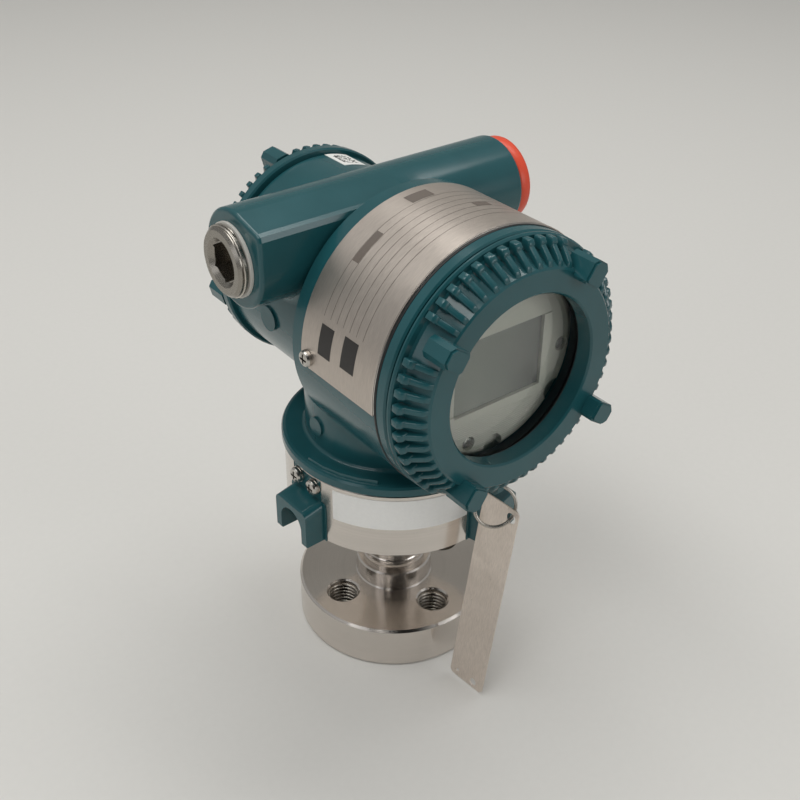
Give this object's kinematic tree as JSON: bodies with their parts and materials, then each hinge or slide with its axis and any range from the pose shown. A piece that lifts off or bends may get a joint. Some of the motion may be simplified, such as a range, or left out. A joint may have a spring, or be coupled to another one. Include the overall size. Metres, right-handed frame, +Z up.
{
  "type": "gauge pressure transmitter",
  "caption": "Cast two-chamber pressure transmitter with round display window, screwed covers, side conduit entries and a bolted process flange, with a wired-on tag.",
  "frame": {"origin": "centre of the process flange's underside", "axes": "+Z up along the sensor body's axis, -Y the way the display looks, X along the conduit entries"},
  "size_m": [0.1174, 0.1352, 0.1862],
  "materials": {
    "painted": "gloss teal paint over cast aluminium",
    "steel": "turned stainless steel",
    "bright_steel": "bright stainless screws",
    "plate": "thin brushed stainless sheet",
    "capsule": "machined steel capsule",
    "glass": "clear window glass",
    "seal": "black rubber",
    "retainer": "turned aluminium",
    "bezel": "pale grey moulded plastic",
    "lcd": "grey liquid crystal panel",
    "board": "green circuit board",
    "module": "dark potted electronics case",
    "terminal": "black moulded block",
    "tape": "white sealing ring",
    "cap": "orange red plastic",
    "label": "white sticker"
  },
  "bodies": {
    "transmitter": {"housing": "painted", "left_saddle": "painted", "right_saddle": "painted", "process_flange": "steel", "sensor_neck": "steel", "sensor_body": "steel", "left_saddle_washer_lower": "bright_steel", "left_saddle_washer_upper": "bright_steel", "left_saddle_screw_lower": "bright_steel", "left_saddle_screw_upper": "bright_steel", "right_saddle_washer_lower": "bright_steel", "right_saddle_washer_upper": "bright_steel", "right_saddle_screw_lower": "bright_steel", "right_saddle_screw_upper": "bright_steel", "name_plate_screw_left": "bright_steel", "name_plate_screw_right": "bright_steel", "terminal_screw_1": "bright_steel", "terminal_screw_2": "bright_steel", "terminal_screw_3": "bright_steel", "terminal_screw_4": "bright_steel", "display_screw_1": "bright_steel", "display_screw_2": "bright_steel", "display_screw_3": "bright_steel", "name_plate": "plate", "sensor_capsule": "capsule", "body_oring": "seal", "display_bezel": "bezel", "lcd_panel": "lcd", "display_board": "board", "electronics_module": "module", "terminal_block": "terminal", "tag_label": "label", "code_sticker": "label"},
    "front_cover": {"front_cover": "painted", "window_gasket": "seal", "window_glass": "glass", "glass_retainer": "retainer"},
    "front_cover_oring": {"front_cover_oring": "seal"},
    "rear_cover": {"rear_cover": "painted"},
    "rear_cover_oring": {"rear_cover_oring": "seal"},
    "conduit_plug": {"conduit_plug": "steel"},
    "plug_seal_ring": {"plug_seal_ring": "tape"},
    "conduit_cap": {"conduit_cap": "cap"},
    "tag_ring": {"tag_ring": "bright_steel"},
    "tag_plate": {"tag_plate": "plate"}
  },
  "joints": [
    {"name": "front_cover_turn", "type": "hinge", "parent": "front_cover_oring", "child": "front_cover", "pos_m": [0, -0.0539, 0.14], "axis": [0, -1, 0], "range_deg": [0, 2160]},
    {"name": "front_cover_travel", "type": "slide", "parent": "transmitter", "child": "front_cover_oring", "axis": [0, -1, 0], "range_m": [0, 0.00905]},
    {"name": "rear_cover_turn", "type": "hinge", "parent": "rear_cover_oring", "child": "rear_cover", "pos_m": [0, 0.0492, 0.14], "axis": [0, 1, 0], "range_deg": [0, 2160]},
    {"name": "rear_cover_travel", "type": "slide", "parent": "transmitter", "child": "rear_cover_oring", "axis": [0, 1, 0], "range_m": [0, 0.00905]},
    {"name": "conduit_plug_turn", "type": "hinge", "parent": "plug_seal_ring", "child": "conduit_plug", "pos_m": [-0.055, 0.014, 0.167], "axis": [-1, 0, 0], "range_deg": [0, 2160.5]},
    {"name": "conduit_plug_travel", "type": "slide", "parent": "transmitter", "child": "plug_seal_ring", "axis": [-1, 0, 0], "range_m": [0, 0.01088]},
    {"name": "conduit_cap_pull", "type": "slide", "parent": "transmitter", "child": "conduit_cap", "axis": [1, 0, 0], "range_m": [0, 0.012]},
    {"name": "tag_ring_swing", "type": "hinge", "parent": "transmitter", "child": "tag_ring", "pos_m": [0.0024, -0.0534, 0.091], "axis": [0.8882, -0.4561, -0.0551], "range_deg": [-35, 1.5]},
    {"name": "tag_plate_swing", "type": "hinge", "parent": "tag_ring", "child": "tag_plate", "pos_m": [0.00481, -0.05985, 0.07953], "axis": [-0.7345, 0.0441, -0.6771], "range_deg": [-10, 2]}
  ],
  "couplings": [
    {"joint": "front_cover_travel", "follows": "front_cover_turn", "m_per_rad": 0.00023873},
    {"joint": "rear_cover_travel", "follows": "rear_cover_turn", "m_per_rad": 0.00023873},
    {"joint": "conduit_plug_turn", "follows": "conduit_plug_travel", "rad_per_m": 3463.7}
  ]
}
